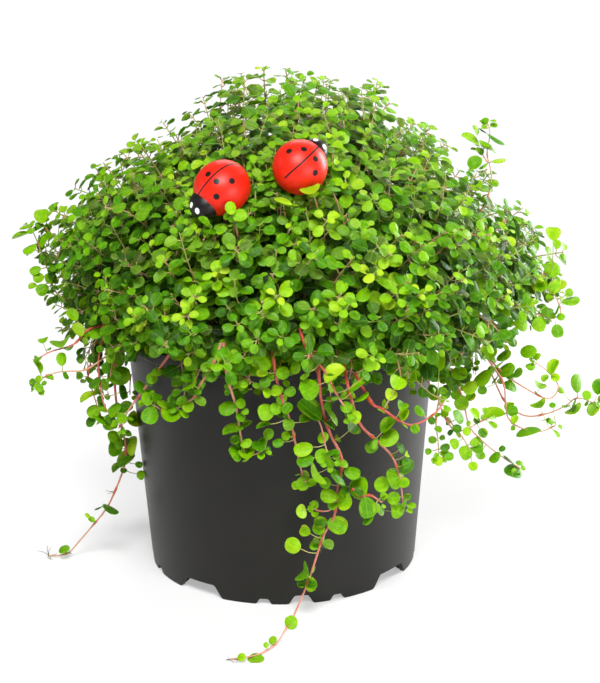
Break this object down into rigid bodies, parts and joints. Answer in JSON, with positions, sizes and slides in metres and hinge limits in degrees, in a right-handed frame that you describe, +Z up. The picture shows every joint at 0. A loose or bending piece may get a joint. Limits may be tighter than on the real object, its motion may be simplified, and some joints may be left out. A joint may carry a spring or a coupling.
{
  "type": "potted baby tears",
  "caption": "Dome of small round glossy leaves on thin reddish stems, trailing over a tapered plastic nursery pot with a notched foot; painted ladybird picks stand among the leaves.",
  "frame": {"origin": "centre of the bounding box's base, on the surface the pot stands on; the pot's axis is a little to its left and back", "axes": "+Z up along the pot's axis, -Y towards the front, +X to the right seen from the front"},
  "size_m": [0.2422, 0.2168, 0.2091],
  "materials": {
    "pot_plastic": "satin charcoal grey moulded polypropylene",
    "soil": null,
    "leaf": null,
    "shoot": null,
    "ladybird_red": "gloss red enamel paint with black spots and seam",
    "ladybird_black": "gloss black enamel paint with white eyes",
    "pick_wood": "plain turned birch stick"
  },
  "bodies": {
    "root": {"ladybird_left_body": "ladybird_red", "ladybird_left_head": "ladybird_black", "ladybird_left_pick": "pick_wood", "ladybird_right_body": "ladybird_red", "ladybird_right_head": "ladybird_black", "ladybird_right_pick": "pick_wood", "pot": "pot_plastic", "shoot_back_left": "shoot", "shoot_back_long": "shoot", "shoot_back_middle": "shoot", "shoot_back_right": "shoot", "shoot_front_left_curl": "shoot", "shoot_front_left_drop": "shoot", "shoot_front_middle": "shoot", "shoot_front_right_branch": "shoot", "shoot_front_right_drop": "shoot", "shoot_front_right_red": "shoot", "shoot_front_runner": "shoot", "shoot_front_tuft": "shoot", "shoot_left_drop_inner": "shoot", "shoot_left_drop_outer": "shoot", "shoot_left_high": "shoot", "shoot_left_pot": "shoot", "shoot_left_runner": "shoot", "shoot_left_side": "shoot", "shoot_left_tip": "shoot", "shoot_right_far": "shoot", "shoot_right_loop": "shoot", "shoot_right_low": "shoot", "shoot_right_tail": "shoot", "shoot_right_thread": "shoot", "shoot_right_upper": "shoot", "shoot_upright": "shoot", "soil": "soil", "tuft_lower_1": "leaf", "tuft_lower_10": "leaf", "tuft_lower_2": "leaf", "tuft_lower_3": "leaf", "tuft_lower_4": "leaf", "tuft_lower_5": "leaf", "tuft_lower_6": "leaf", "tuft_lower_7": "leaf", "tuft_lower_8": "leaf", "tuft_lower_9": "leaf", "tuft_top": "leaf", "tuft_upper_1": "leaf", "tuft_upper_2": "leaf", "tuft_upper_3": "leaf", "tuft_upper_4": "leaf", "tuft_upper_5": "leaf", "tuft_upper_6": "leaf"}
  },
  "joints": []
}
